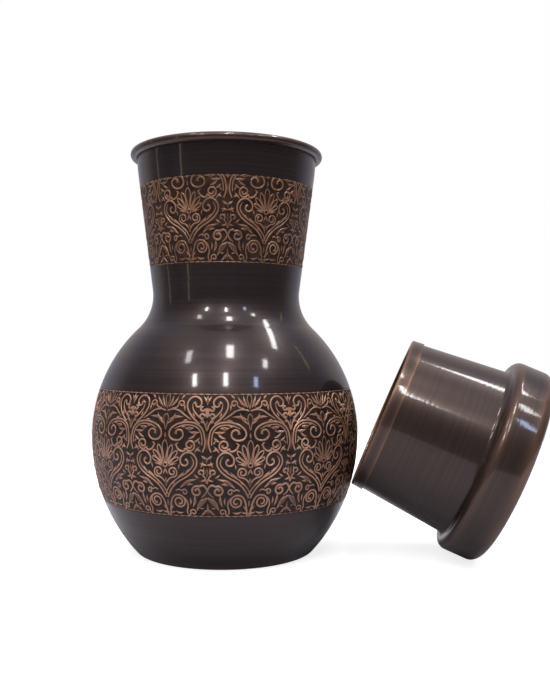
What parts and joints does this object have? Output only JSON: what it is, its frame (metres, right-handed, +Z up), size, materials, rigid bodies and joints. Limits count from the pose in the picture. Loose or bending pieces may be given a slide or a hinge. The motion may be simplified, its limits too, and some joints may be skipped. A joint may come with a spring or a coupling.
{
  "type": "water jug with tumbler lid",
  "caption": "Round-bellied metal water jug with a flared neck, two ornamented bands and a tumbler that serves as its lid, shown leaning against the belly.",
  "frame": {"origin": "middle of the jug's standing ring, on the floor", "axes": "+Z up along the jug's axis; +X from the jug's axis towards the tumbler that leans against it; +Y away from the viewer"},
  "size_m": [0.2201, 0.13, 0.1949],
  "materials": {
    "antique_copper": "antiqued copper under clear lacquer, glossy, with raised ornament polished back to bare copper",
    "tumbler_copper": "antiqued copper under clear lacquer, satin gloss with lathe lines, edges rubbed to bare copper",
    "braze": "bare braze metal",
    "steel_wire": "drawn wire"
  },
  "bodies": {
    "jug": {"bowl": "antique_copper", "shoulder": "antique_copper", "neck": "antique_copper", "rim_wire": "steel_wire", "base_disc": "antique_copper", "base_braze": "braze", "belly_braze": "braze", "waist_braze": "braze"},
    "tumbler": {"tumbler_wall": "tumbler_copper", "tumbler_cap": "tumbler_copper", "tumbler_braze": "braze"}
  },
  "joints": [
    {"name": "tumbler_tip", "type": "hinge", "parent": "jug", "child": "tumbler", "pos_m": [0.117, 0, 0.0045], "axis": [0, 1, 0], "range_deg": [0, 67]}
  ]
}
